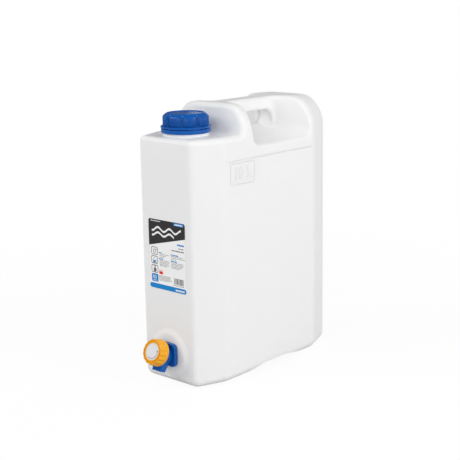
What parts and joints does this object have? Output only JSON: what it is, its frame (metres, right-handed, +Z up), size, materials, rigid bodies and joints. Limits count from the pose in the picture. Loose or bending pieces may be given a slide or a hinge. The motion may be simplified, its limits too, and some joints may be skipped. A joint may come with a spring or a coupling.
{
  "type": "jerrycan with tap",
  "caption": "Slim blow-moulded water can with a carrying handle, a screw cap on a low shoulder and a leaning screw tap near the base.",
  "frame": {"origin": "on the floor the can stands on, under the middle of the whole with its tap", "axes": "+Z up, the tap and the label face -Y, and the side seen in the picture faces +X"},
  "size_m": [0.126, 0.3145, 0.3644],
  "materials": {
    "natural_plastic": "satin, slightly milky",
    "blue_plastic": "semi-gloss",
    "yellow_plastic": "semi-gloss",
    "white_plastic": "semi-gloss",
    "black_rubber": "matt",
    "label_film": "printed film"
  },
  "bodies": {
    "can": {"can_body": "natural_plastic", "front_label": "label_film", "tamper_ring": "blue_plastic", "tap_body": "blue_plastic", "tap_gasket": "black_rubber"},
    "cap_seal": {"cap_liner": "white_plastic"},
    "cap": {"screw_cap": "blue_plastic"},
    "valve": {"valve_piston": "white_plastic", "index_disc": "white_plastic", "seat_seal": "black_rubber", "piston_ring_1": "black_rubber", "piston_ring_2": "black_rubber"},
    "knob": {"tap_knob": "yellow_plastic"}
  },
  "joints": [
    {"name": "cap_rise", "type": "slide", "parent": "can", "child": "cap_seal", "axis": [0, 0, 1], "range_m": [0, 0.03]},
    {"name": "cap_turn", "type": "hinge", "parent": "cap_seal", "child": "cap", "pos_m": [0, -0.07725, 0.3424], "axis": [0, 0, 1], "range_deg": [0, 1800]},
    {"name": "valve_rise", "type": "slide", "parent": "can", "child": "valve", "axis": [0, -0.9205, 0.3907], "range_m": [0, 0.006]},
    {"name": "knob_turn", "type": "hinge", "parent": "valve", "child": "knob", "pos_m": [0, -0.12595, 0.0411], "axis": [0, -0.9205, 0.3907], "range_deg": [0, 540]}
  ],
  "couplings": [
    {"joint": "cap_rise", "follows": "cap_turn", "m_per_rad": 0.0009549},
    {"joint": "valve_rise", "follows": "knob_turn", "m_per_rad": 0.0006366}
  ]
}
